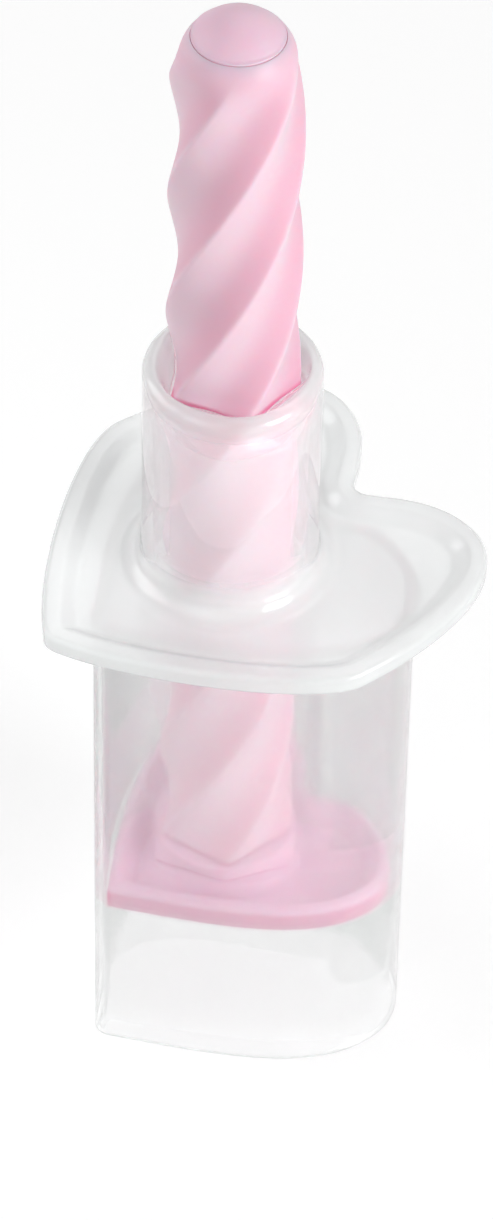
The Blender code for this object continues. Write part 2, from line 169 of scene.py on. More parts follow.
@dataclass(frozen=True)
class Heart:
    """Half of a heart, mirrored in x = 0: a rounded notch, a lobe, a hip and a rounded tip.

    Each curve between two of them is a cubic whose handles have the lengths named here. The
    half angles at notch and tip are measured from the Y axis.
    """

    notch_y: float
    notch_half_angle: float
    notch_radius: float
    notch_handle: float
    lobe_x: float
    lobe_y: float
    lobe_handle_in: float
    lobe_handle_out: float
    hip_x: float
    hip_y: float
    hip_handle_up: float
    hip_handle_down: float
    tip_y: float
    tip_half_angle: float
    tip_radius: float
    tip_handle: float
    arc_points: int = 12
    cubic_points: int = 90
    # A moved point nearer to the outline than this share of the depth has crossed over.
    kept_share: float = 0.997

    def outline(self) -> np.ndarray:
        """Return the outline as a dense closed polyline, clockwise from the notch.

        Returns:
            An array of x and y.
        """

        def corner(y: float, half_angle: float, radius: float) -> tuple[np.ndarray, np.ndarray]:
            """Round off a corner at x = 0.

            Args:
                y: Where the rounding crosses x = 0.
                half_angle: Angle between the Y axis and the outline past the rounding.
                radius: Radius of the rounding.

            Returns:
                The points of the rounding and the way in which the outline leaves it.
            """
            turn = np.linspace(0.0, math.pi / 2 - half_angle, self.arc_points)
            arc = np.column_stack([radius * np.sin(turn), y + radius * (1 - np.cos(turn))])
            return arc, np.array([math.sin(half_angle), math.cos(half_angle)])

        def cubic(start: np.ndarray, out: np.ndarray, back: np.ndarray, end: np.ndarray) -> np.ndarray:
            """Divide a cubic into points.

            Args:
                start: Its first point.
                out: The handle of its first point.
                back: The handle of its last point.
                end: Its last point.

            Returns:
                Its points, without the last.
            """
            t = np.linspace(0.0, 1.0, self.cubic_points, endpoint=False)[:, None]
            return (
                (1 - t) ** 3 * start
                + 3 * (1 - t) ** 2 * t * out
                + 3 * (1 - t) * t**2 * back
                + t**3 * end
            )

        notch, notch_way = corner(self.notch_y, self.notch_half_angle, self.notch_radius)
        tip, tip_way = corner(self.tip_y, self.tip_half_angle, self.tip_radius)
        lobe = np.array([self.lobe_x, self.lobe_y])
        hip = np.array([self.hip_x, self.hip_y])
        half = np.vstack(
            [
                notch[:-1],
                cubic(
                    notch[-1],
                    notch[-1] + self.notch_handle * notch_way,
                    lobe - [self.lobe_handle_in, 0.0],
                    lobe,
                ),
                cubic(
                    lobe,
                    lobe + [self.lobe_handle_out, 0.0],
                    hip + [0.0, self.hip_handle_up],
                    hip,
                ),
                cubic(
                    hip,
                    hip - [0.0, self.hip_handle_down],
                    tip[-1] + self.tip_handle * tip_way,
                    tip[-1],
                ),
                tip[::-1],
            ]
        )
        return np.vstack([half, half[-2:0:-1] * [-1.0, 1.0]])

    def radii(self, depth: float, angles: np.ndarray) -> np.ndarray:
        """Return how far the outline, moved inwards, lies from the axis at these angles.

        Args:
            depth: How far inwards the outline is moved, square to itself.
            angles: Angles round the Z axis.

        Returns:
            One radius for each angle.
        """
        outline = self.outline()
        along = np.roll(outline, -1, axis=0) - np.roll(outline, 1, axis=0)
        inwards = np.column_stack([along[:, 1], -along[:, 0]])
        moved = outline + depth * inwards / np.linalg.norm(inwards, axis=1)[:, None]
        # Inside a rounding smaller than the depth, moved points cross over: they are left out.
        gaps = np.linalg.norm(moved[:, None] - outline, axis=2).min(axis=1)
        moved = moved[gaps >= self.kept_share * depth]
        found = np.arctan2(moved[:, 1], moved[:, 0])
        order = np.argsort(found)
        far = np.hypot(moved[:, 0], moved[:, 1])
        return np.interp(angles, found[order], far[order], period=FULL_TURN)


SLEEVE_HEART = Heart(
    notch_y=26.2 * MM,
    notch_half_angle=math.radians(42),
    notch_radius=2.0 * MM,
    notch_handle=6.0 * MM,
    lobe_x=16.5 * MM,
    lobe_y=33.1 * MM,
    lobe_handle_in=7.5 * MM,
    lobe_handle_out=10.0 * MM,
    hip_x=37.7 * MM,
    hip_y=13.8 * MM,
    hip_handle_up=13.5 * MM,
    hip_handle_down=16.5 * MM,
    tip_y=-35.4 * MM,
    tip_half_angle=math.radians(48),
    tip_radius=4.0 * MM,
    tip_handle=26.0 * MM,
)

TRAY_HEART = replace(
    SLEEVE_HEART,
    notch_y=34.3 * MM,
    notch_half_angle=math.radians(46),
    notch_radius=3.5 * MM,
    lobe_x=25.0 * MM,
    lobe_y=48.4 * MM,
    lobe_handle_in=12.0 * MM,
    lobe_handle_out=19.0 * MM,
    hip_x=48.0 * MM,
    hip_y=2.0 * MM,
    hip_handle_up=14.0 * MM,
    hip_handle_down=12.0 * MM,
    tip_y=-48.4 * MM,
    tip_half_angle=math.radians(64),
    tip_handle=18.0 * MM,
)


@dataclass(frozen=True)
class Twist:
    """The handle's ridges, which the guide hole follows too."""

    ridges: int = 5
    softness: float = 0.08
    lead: float = 165.0 * MM
    foot: float = 53.3 * MM
    foot_angle: float = math.radians(-32.5)

    def turn(self, z: float) -> float:
        """Return the angle of a ridge at height z."""
        return self.foot_angle + FULL_TURN * (z - self.foot) / self.lead

    def section(self, radius: float, depth: float, angles: np.ndarray) -> np.ndarray:
        """Return the radii of a section with ridges.

        Args:
            radius: The radius over the ridges.
            depth: How deep the flutes are, as a share of the radius.
            angles: Angles from a ridge.

        Returns:
            One radius for each angle.
        """
        soft = self.softness
        wave = np.sqrt(np.sin(self.ridges * angles / 2) ** 2 + soft**2) - soft
        return radius * (1 - depth * wave / (math.hypot(1, soft) - soft))


class Skin:
    """Rows of points round the Z axis, joined into one closed skin."""

    def __init__(self, rays: int) -> None:
        """Start a skin with this many points in each row."""
        self.angles = FULL_TURN * np.arange(rays) / rays
        self.rows: list[np.ndarray] = []

    def add(self, radii: np.ndarray | float, z: np.ndarray | float) -> None:
        """Add a row.

        Args:
            radii: One radius, or one for each point.
            z: One height, or one for each point.
        """
        radii = np.broadcast_to(np.asarray(radii, float), self.angles.shape)
        z = np.broadcast_to(np.asarray(z, float), self.angles.shape)
        self.rows.append(
            np.column_stack([radii * np.cos(self.angles), radii * np.sin(self.angles), z])
        )

    def close(self, name: str, material: bpy.types.Material) -> bpy.types.Object:
        """Join the rows, and the last to the first, into an object.

        A row of radius 0 closes on one point.

        Args:
            name: The object's name.
            material: Its finish.

        Returns:
            The finished object, its faces pointing outwards.
        """
        count = len(self.angles)
        points = np.concatenate(self.rows)
        first = np.arange(len(self.rows)) * count
        here = first[:, None] + np.arange(count)
        after = first[:, None] + (np.arange(count) + 1) % count
        quads = np.stack([here, after, np.roll(after, -1, 0), np.roll(here, -1, 0)], -1)
        mesh = bpy.data.meshes.new(name)
        mesh.from_pydata(points.tolist(), [], quads.reshape(-1, 4).tolist())
        return finished(name, mesh, material)


def finished(name: str, mesh: bpy.types.Mesh, material: bpy.types.Material) -> bpy.types.Object:
    """Merge a mesh's doubles, point its faces outwards, shade it smooth and link it.

    Args:
        name: The object's name.
        mesh: A closed mesh in its place.
        material: Its finish.

    Returns:
        The object, at the origin.
    """
    bm = bmesh.new()
    bm.from_mesh(mesh)
    bmesh.ops.remove_doubles(bm, verts=bm.verts, dist=SAME_POINT)
    bmesh.ops.dissolve_degenerate(bm, edges=bm.edges, dist=SHORTEST_EDGE)
    if bm.calc_volume(signed=True) < 0:
        bmesh.ops.reverse_faces(bm, faces=bm.faces)
    bm.to_mesh(mesh)
    bm.free()
    mesh.materials.clear()
    mesh.materials.append(material)
    mesh.shade_smooth()
    mesh.set_sharp_from_angle(angle=SHARP_ANGLE)
    obj = bpy.data.objects.new(name, mesh)
    bpy.context.scene.collection.objects.link(obj)
    return obj


def place(obj: bpy.types.Object, body: Body, slot: Slot, *nodes: str) -> bpy.types.Object:
    """Put a finished piece on its body, in the place of these frame nodes.

    Args:
        obj: The finished piece.
        body: The body that it moves with.
        slot: The record's material slot; not used.
        nodes: The frame nodes that it stands for.

    Returns:
        The same piece.
    """
    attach(obj, body.value)
    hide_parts(*nodes)
    return obj


# Finishes


def new_material(name: str) -> tuple[bpy.types.Material, bpy.types.NodeTree]:
    """Return a material with an empty node tree.

    Args:
        name: The material's name.

    Returns:
        The material and its tree.
    """
    material = bpy.data.materials.new(name)
    material.use_nodes = True
    material.node_tree.nodes.clear()
    return material, material.node_tree


def looked_at(tree: bpy.types.NodeTree) -> tuple[Socket, Socket]:
    """Add the nodes that tell a look at a surface from a ray of light on it.

    Args:
        tree: The tree that gets the nodes.

    Returns:
        A socket that is 1 for a look that is straight, through a clear wall or by a
        reflection, and one that is 1 for a straight look alone.
    """
    path = add_node(tree, "ShaderNodeLightPath").outputs
    through = add_node(
        tree,
        "ShaderNodeMath",
        {"operation": "MAXIMUM"},
        {0: path["Is Camera Ray"], 1: path["Is Transmission Ray"]},
    )
    any_look = add_node(
        tree,
        "ShaderNodeMath",
        {"operation": "MAXIMUM"},
        {0: through.outputs[0], 1: path["Is Glossy Ray"]},
    )
    return any_look.outputs[0], path["Is Camera Ray"]


@dataclass(frozen=True)
class NaturalPolypropylene:
    """Natural polypropylene, injection moulded in a polished tool.

    It is clear in a thin wall and milky in a thick one, because its crystals scatter light. A
    wall seen edge on has a darker colour painted in, a painted refraction of dark surroundings.
    The skin is glossy, with the faint long waves of a wall that shrank as it cooled.
    """

    ior: float = 1.49
    wave_mm: float = 14.0
    wave_height_mm: float = 0.012
    wave_detail: float = 1.0
    haze_mm: float = 6.0
    haze_share: float = 0.3
    haze_detail: float = 3.0
    gloss: float = 1.0
    gloss_roughness: float = 0.04
    height: float = 194.0 * MM
    # Share of a lamp's light that a wall holds back. A clear wall throws hardly any shadow.
    shade: float = 0.25
    # Colour of the darker edge painted on a wall seen edge on, a painted refraction.
    painted_edge_colour: str = "#5F6668"
    # How far a wall is turned away before the painted dark edge starts, from 0 to 1.
    painted_edge_start: float = 0.62
    # Height, share of light that the wall refracts, cover, blur and tint, from the edge up.
    clarity: tuple[tuple[float, float, float, float, str], ...] = (
        (0.0, 0.92, 0.75, 0.11, "#ECEFEE"),
        (131.0 * MM, 0.92, 0.75, 0.11, "#ECEFEE"),
        (134.5 * MM, 0.36, 0.82, 0.18, "#F6F8F8"),
        (140.5 * MM, 0.36, 0.82, 0.18, "#F6F8F8"),
        (147.0 * MM, 0.52, 0.54, 0.09, "#F5F7F7"),
        (187.5 * MM, 0.52, 0.54, 0.09, "#F5F7F7"),
        (192.0 * MM, 0.34, 0.82, 0.16, "#F0F2F2"),
    )

    def build(self) -> bpy.types.Material:
        """Build the material.

        Returns:
            The finished material.
        """
        material, tree = new_material("natural_polypropylene")
        place_on = add_node(tree, "ShaderNodeTexCoord").outputs["Object"]
        parts = add_node(tree, "ShaderNodeSeparateXYZ", inputs={0: place_on})
        share = add_node(
            tree,
            "ShaderNodeMath",
            {"operation": "DIVIDE", "use_clamp": True},
            {0: parts.outputs["Z"], 1: self.height},
        )
        ramps = []
        for colours in (
            [(*values, 1.0) for _, *values, _ in self.clarity],
            [linear(tint) for *_, tint in self.clarity],
        ):
            ramp = add_node(tree, "ShaderNodeValToRGB", inputs={"Fac": share.outputs[0]})
            ramp.color_ramp.interpolation = "EASE"
            stops = ramp.color_ramp.elements
            while len(stops) < len(self.clarity):
                stops.new(1.0)
            for stop, (z, *_), colour in zip(stops, self.clarity, colours):
                stop.position = z / self.height
                stop.color = colour
            ramps.append(ramp.outputs["Color"])
        wall = add_node(tree, "ShaderNodeSeparateColor", inputs={"Color": ramps[0]})
        # Painted dark edge, a painted refraction: as strong as the wall's refracted share, so a clear
        # wall has the darker edge.
        edge = add_node(
            tree,
            "ShaderNodeMapRange",
            {"interpolation_type": "SMOOTHSTEP"},
            {
                "Value": add_node(tree, "ShaderNodeLayerWeight").outputs["Facing"],
                "From Min": self.painted_edge_start,
                "From Max": 1.0,
                "To Max": wall.outputs["Red"],
            },
        )
        tinted = add_node(
            tree,
            "ShaderNodeMix",
            {"data_type": "RGBA"},
            {0: edge.outputs[0], 6: ramps[1], 7: linear(self.painted_edge_colour)},
        )
        solid = add_node(
            tree,
            "ShaderNodeMath",
            {"operation": "MAXIMUM"},
            {0: wall.outputs["Green"], 1: edge.outputs[0]},
        )
        held = add_node(
            tree,
            "ShaderNodeMapRange",
            inputs={
                "Value": add_node(tree, "ShaderNodeLightPath").outputs["Is Shadow Ray"],
                "To Min": 1.0,
                "To Max": self.shade,
            },
        )
        cover = add_node(
            tree,
            "ShaderNodeMath",
            {"operation": "MULTIPLY"},
            {0: solid.outputs[0], 1: held.outputs[0]},
        )
        haze = add_node(
            tree,
            "ShaderNodeTexNoise",
            inputs={
                "Vector": place_on,
                "Scale": 1 / (self.haze_mm * MM),
                "Detail": self.haze_detail,
            },
        )
        rough = add_node(
            tree,
            "ShaderNodeMapRange",
            inputs={
                "Value": haze.outputs["Fac"],
                "From Min": NOISE_LOW,
                "From Max": NOISE_HIGH,
                "To Min": 1 - self.haze_share,
                "To Max": 1 + self.haze_share,
            },
        )
        blur = add_node(
            tree,
            "ShaderNodeMath",
            {"operation": "MULTIPLY"},
            {0: wall.outputs["Blue"], 1: rough.outputs[0]},
        )
        wave = add_node(
            tree,
            "ShaderNodeTexNoise",
            inputs={
                "Vector": place_on,
                "Scale": 1 / (self.wave_mm * MM),
                "Detail": self.wave_detail,
            },
        )
        bump = add_node(
            tree,
            "ShaderNodeBump",
            inputs={
                "Height": wave.outputs["Fac"],
                "Distance": self.wave_height_mm * MM,
                "Strength": 1.0,
            },
        )
        shader = add_node(
            tree,
            "ShaderNodeBsdfPrincipled",
            inputs={
                "Base Color": tinted.outputs[2],
                "Roughness": blur.outputs[0],
                "IOR": self.ior,
                "Transmission Weight": wall.outputs["Red"],
                "Alpha": cover.outputs[0],
                "Coat Weight": self.gloss,
                "Coat Roughness": self.gloss_roughness,
                "Normal": bump.outputs[0],
            },
        )
        add_node(tree, "ShaderNodeOutputMaterial", inputs={"Surface": shader.outputs[0]})
        return material


@dataclass(frozen=True)
class PinkPlastic:
    """Pink ABS, injection moulded in a tool with a fine spark-eroded skin.

    The skin breaks up reflections into a soft sheen, and the colour is a little uneven because
    light goes a short way into the plastic. Shade is painted into its colour: a fuller pink
    grows across each flute to just before the next ridge and lies on the dome, so the colour is
    paler just past each ridge. Seams get a deeper pink where shade falls in them, as painted shade.
    """

    name: str
    colour: str
    cloud_colour: str
    # Colour of the painted shade across the flutes and on the dome.
    painted_shade_colour: str
    # Value of the attribute that carries the painted shade, from which on the painted shade is full.
    painted_shade_full: float = 0.75
    # Painted shade in a seam: its colour deep in the seam, how far the seam is felt, the open
    # share of its surroundings at which the painted shade starts and is full, and how much of the
    # skin's colour it covers.
    painted_seam_shade_colour: str = "#E0558F"
    painted_seam_shade_mm: float = 1.6
    painted_seam_shade_open: tuple[float, float] = (0.65, 0.15)
    painted_seam_shade_cover: float = 0.9
    painted_seam_shade_samples: int = 8
    ior: float = 1.53
    roughness: tuple[float, float] = (0.38, 0.47)
    # The real grain is about 0.05 mm; it is drawn at 0.35 mm to show at all.
    grain_mm: float = 0.35
    grain_height_mm: float = 0.006
    grain_strength: float = 0.6
    cloud_mm: float = 18.0
    detail: float = 2.0
    # How much of the light goes into the plastic, and how far its red, green and blue go.
    depth_share: float = 0.55
    depth_mm: float = 2.6
    depth_colours: tuple[float, float, float] = (1.0, 0.28, 0.38)
    sheen: float = 0.12
    sheen_roughness: float = 0.45

    def build(self) -> bpy.types.Material:
        """Build the material.

        Returns:
            The finished material.
        """
        material, tree = new_material(self.name)
        place_on = add_node(tree, "ShaderNodeTexCoord").outputs["Object"]
        cloud = add_node(
            tree,
            "ShaderNodeTexNoise",
            inputs={
                "Vector": place_on,
                "Scale": 1 / (self.cloud_mm * MM),
                "Detail": self.detail,
            },
        )
        colour = add_node(
            tree,
            "ShaderNodeMix",
            {"data_type": "RGBA"},
            {
                0: cloud.outputs["Fac"],
                6: linear(self.colour),
                7: linear(self.cloud_colour),
            },
        )
        # Painted shade: a fuller pink across each flute up to the next ridge, and on the dome.
        share = add_node(tree, "ShaderNodeAttribute", {"attribute_name": "painted_shade"})
        painted_shade = add_node(
            tree,
            "ShaderNodeMapRange",
            {"interpolation_type": "SMOOTHSTEP"},
            {"Value": share.outputs["Fac"], "From Max": self.painted_shade_full},
        )
        skin = add_node(
            tree,
            "ShaderNodeMix",
            {"data_type": "RGBA"},
            {
                0: painted_shade.outputs[0],
                6: colour.outputs[2],
                7: linear(self.painted_shade_colour),
            },
        )
        # Painted shade in seams and gaps: deeper pink where the surroundings close in.
        open_share = add_node(
            tree,
            "ShaderNodeAmbientOcclusion",
            {"samples": self.painted_seam_shade_samples},
            {"Distance": self.painted_seam_shade_mm * MM},
        )
        seam = add_node(
            tree,
            "ShaderNodeMapRange",
            {"interpolation_type": "SMOOTHSTEP"},
            {
                "Value": open_share.outputs["AO"],
                "From Min": self.painted_seam_shade_open[0],
                "From Max": self.painted_seam_shade_open[1],
                "To Max": self.painted_seam_shade_cover,
            },
        )
        skin = add_node(
            tree,
            "ShaderNodeMix",
            {"data_type": "RGBA"},
            {0: seam.outputs[0], 6: skin.outputs[2], 7: linear(self.painted_seam_shade_colour)},
        )
        grain = add_node(
            tree,
            "ShaderNodeTexNoise",
            inputs={
                "Vector": place_on,
                "Scale": 1 / (self.grain_mm * MM),
                "Detail": self.detail,
            },
        )
        rough = add_node(
            tree,
            "ShaderNodeMapRange",
            inputs={
                "Value": grain.outputs["Fac"],
                "From Min": NOISE_LOW,
                "From Max": NOISE_HIGH,
                "To Min": self.roughness[0],
                "To Max": self.roughness[1],
            },
        )
        bump = add_node(
            tree,
            "ShaderNodeBump",
            inputs={
                "Height": grain.outputs["Fac"],
                "Distance": self.grain_height_mm * MM,
                "Strength": self.grain_strength,
            },
        )
        shader = add_node(
            tree,
            "ShaderNodeBsdfPrincipled",
            inputs={
                "Base Color": skin.outputs[2],
                "Roughness": rough.outputs[0],
                "IOR": self.ior,
                "Subsurface Weight": self.depth_share,
                "Subsurface Radius": self.depth_colours,
                "Subsurface Scale": self.depth_mm * MM,
                "Sheen Weight": self.sheen,
                "Sheen Roughness": self.sheen_roughness,
                "Normal": bump.outputs[0],
            },
        )
        add_node(tree, "ShaderNodeOutputMaterial", inputs={"Surface": shader.outputs[0]})
        return material


class Pink(Enum):
    """The pinks: name, colour, colour of the clouds in it and colour of the painted shade on a flank.
    """

    HANDLE = ("pink_abs", "#F7D8E5", "#F5D2E2", "#F1BCD0")
    CAP = ("lilac_pink_abs", "#F6D2E3", "#F3CADE", "#F3CADE")
    PLATE = ("rose_lilac_abs", "#EFC3DC", "#ECBAD6", "#ECBAD6")


@dataclass(frozen=True)
class TurnedSteel:
    """Stainless steel, turned: fine rings round the axis draw out its reflections."""

    colour: str = "#C9CACC"
    roughness: float = 0.28
    ring_mm: float = 0.25
    ring_height_mm: float = 0.004
    ring_strength: float = 0.5
    unevenness: float = 0.6
    detail: float = 2.0

    def build(self) -> bpy.types.Material:
        """Build the material.

        Returns:
            The finished material.
        """
        material, tree = new_material("turned_stainless_steel")
        place_on = add_node(tree, "ShaderNodeTexCoord").outputs["Object"]
        rings = add_node(
            tree,
            "ShaderNodeTexWave",
            {"wave_type": "RINGS", "rings_direction": "Z"},
            {
                "Vector": place_on,
                "Scale": FULL_TURN / WAVE_RADIANS / (self.ring_mm * MM),
                "Distortion": self.unevenness,
                "Detail": self.detail,
            },
        )
        bump = add_node(
            tree,
            "ShaderNodeBump",
            inputs={
                "Height": rings.outputs["Fac"],
                "Distance": self.ring_height_mm * MM,
                "Strength": self.ring_strength,
            },
        )
        shader = add_node(
            tree,
            "ShaderNodeBsdfPrincipled",
            inputs={
                "Base Color": linear(self.colour),
                "Metallic": 1.0,
                "Roughness": self.roughness,
                "Normal": bump.outputs[0],
            },
        )
        add_node(tree, "ShaderNodeOutputMaterial", inputs={"Surface": shader.outputs[0]})
        return material


# Pieces


@dataclass
class CutterBody:
    """Sleeve, heart tray and collar in one clear moulding."""

    twist: Twist
    sleeve_height: float = 134.0 * MM
    sleeve_wall: float = 2.0 * MM
    edge_width: float = 1.2 * MM
    edge_taper: float = 5.0 * MM
    edge_rounding: float = 0.25 * MM
    # The bevel inside the cutting edge: its height, how much it takes from the edge's width,
    # and how much wider than the edge the wall is above it.
    edge_bevel: float = 0.3 * MM
    edge_bevel_in: float = 0.2 * MM
    edge_bevel_out: float = 0.05 * MM
    lowest_row: float = 4.0 * MM
    fillet: float = 1.5 * MM
    corner: float = 1.0 * MM
    tray_height: float = 5.0 * MM
    tray_floor: float = 2.7 * MM
    bead_width: float = 8.4 * MM
    bead_rounding: float = 1.4 * MM
    collar_height: float = 55.0 * MM
    collar_radius: float = 19.55 * MM
    collar_wall: float = 2.5 * MM
    collar_foot: float = 5.0 * MM
    lip_rounding: float = 2.6 * MM
    lip_dish: float = 2.8 * MM
    # The lip's slope is an eased curve, cut off here, before it is level again.
    dish_share: float = 0.86
    guide_depth: float = 3.2 * MM
    guide_radius: float = 15.45 * MM
    guide_rounding: float = 0.65 * MM
    guide_taper: float = 6.0 * MM
    # A flat or a wall has a row this close to the rounding that ends it.
    floor_margin: float = 0.8 * MM
    foot_margin: float = 0.6 * MM
    wall_margin: float = 1.0 * MM
    # How finely each rounding, slope and wall is divided.
    edge_steps: int = 3
    small_steps: int = 4
    fillet_steps: int = 6
    steps: int = 8
    broad_steps: int = 10
    guide_rows: int = 6
    sleeve_rows: int = 12
    rays: int = 360

    @property
    def tray_top(self) -> float:
        """Height of the tray's rim."""
        return self.sleeve_height + self.tray_height

    @property
    def collar_top(self) -> float:
        """Height of the collar's lip."""
        return self.tray_top + self.collar_height

    def sleeve(self, skin: Skin, inset: float, z: float) -> None:
        """Add a row of the sleeve's heart, moved inwards by inset."""
        skin.add(SLEEVE_HEART.radii(inset, skin.angles), z)

    def tray(self, skin: Skin, inset: float, z: float) -> None:
        """Add a row of the tray's heart, moved inwards by inset."""
        skin.add(TRAY_HEART.radii(inset, skin.angles), z)

    def outside(self, skin: Skin) -> None:
        """Add the rows from the cutting edge up to the crest of the collar's lip.

        Args:
            skin: The skin that gets the rows.
        """
        edge = self.edge_rounding
        for sine, cosine in quarter(self.edge_steps):
            self.sleeve(skin, edge * (1 - sine), edge * (1 - cosine))
        below_fillet = self.sleeve_height - 2 * self.fillet
        for z in np.linspace(self.lowest_row, below_fillet, self.sleeve_rows):
            self.sleeve(skin, 0.0, z)
        for sine, cosine in quarter(self.fillet_steps):
            self.sleeve(
                skin,
                -self.fillet * (1 - cosine),
                self.sleeve_height - self.fillet * (1 - sine),
            )
        rounding = self.bead_rounding
        self.tray(skin, 2 * rounding, self.sleeve_height)
        for sine, cosine in quarter(self.steps):
            self.tray(
                skin, rounding * (1 - sine), self.sleeve_height + rounding * (1 - cosine)
            )
        for sine, cosine in quarter(self.steps):
            self.tray(skin, rounding * (1 - cosine), self.tray_top - rounding * (1 - sine))
        fall = self.tray_height - self.tray_floor
        slope = self.bead_width - 2 * rounding
        for share in shares(self.broad_steps):
            self.tray(
                skin,
                self.bead_width - slope * (1 - share),
                self.tray_top - fall * eased(share),
            )
        floor = self.sleeve_height + self.tray_floor
        self.tray(skin, self.bead_width + self.floor_margin, floor)
        skin.add(self.collar_radius + self.collar_foot + self.foot_margin, floor)
        for sine, cosine in quarter(self.broad_steps):
            skin.add(
                self.collar_radius + self.collar_foot * (1 - sine),
                floor + self.collar_foot * (1 - cosine),
            )
        low = floor + self.collar_foot + self.wall_margin
        high = self.collar_top - self.lip_rounding - self.wall_margin
        for z in np.linspace(low, high, self.broad_steps):
            skin.add(self.collar_radius, z)
        for sine, cosine in quarter(self.broad_steps):
            skin.add(
                self.collar_radius - self.lip_rounding * (1 - cosine),
                self.collar_top - self.lip_rounding * (1 - sine),
            )

    def guide(self, skin: Skin, z: float, widened: float = 0.0) -> np.ndarray:
        """Return a section of the five-sided guide hole, which twists with its height.

        Args:
            skin: The skin whose angles are used.
            z: The height.
            widened: How much wider the hole is here.

        Returns:
            One radius for each angle.
        """
        depth = 1 - math.cos(math.pi / self.twist.ridges)
        ridge = self.twist.turn(z)
        return self.twist.section(self.guide_radius, depth, skin.angles - ridge) + widened

    def inside(self, skin: Skin) -> None:
        """Add the rows from the crest of the lip through the guide hole down to the edge.

        Args:
            skin: The skin that gets the rows.
        """
        crest = self.collar_radius - self.lip_rounding
        top = self.collar_top - self.lip_dish
        mouth = self.guide(skin, top, self.guide_rounding)
        cut = self.dish_share
        for share in shares(self.steps):
            fall = self.lip_dish * eased(share * cut) / eased(cut)
            skin.add(crest + (mouth - crest) * share, self.collar_top - fall)
        for sine, cosine in quarter(self.small_steps):
            drop = self.guide_rounding * (1 - cosine)
            skin.add(self.guide(skin, top - drop, self.guide_rounding * (1 - sine)), top - drop)
        low = top - self.guide_depth
        for z in np.linspace(top - self.wall_margin, low, self.guide_rows):
            skin.add(self.guide(skin, z), z)
        bore = self.collar_radius - self.collar_wall
        hole = self.guide(skin, low)
        for share in shares(self.guide_rows):
            skin.add(hole + (bore - hole) * eased(share), low - self.guide_taper * share)
        high = low - self.guide_taper - self.wall_margin
        for z in np.linspace(high, self.sleeve_height + self.wall_margin, self.steps):
            skin.add(bore, z)
        skin.add(bore, self.sleeve_height)
        self.sleeve(skin, self.sleeve_wall + 2 * self.corner, self.sleeve_height)
        for sine, cosine in quarter(self.small_steps):
            self.sleeve(
                skin,
                self.sleeve_wall + self.corner * (1 - sine),
                self.sleeve_height - self.corner * (1 - cosine),
            )
        below_fillet = self.sleeve_height - 2 * self.fillet
        for z in np.linspace(below_fillet, self.edge_taper, self.sleeve_rows):
            self.sleeve(skin, self.sleeve_wall, z)
        self.sleeve(skin, self.edge_width + self.edge_bevel_out, self.edge_bevel)
        self.sleeve(skin, self.edge_width - self.edge_bevel_in, 0.0)

    def build(self, finish: bpy.types.Material) -> bpy.types.Object:
        """Build the moulding and put it in its place.

        Args:
            finish: The clear plastic.

        Returns:
            The moulding.
        """
        skin = Skin(self.rays)
        self.outside(skin)
        self.inside(skin)
        obj = skin.close("clear_cutter_moulding", finish)
        return place(obj, Body.CUTTER, Slot.CLEAR, "cutter_body")


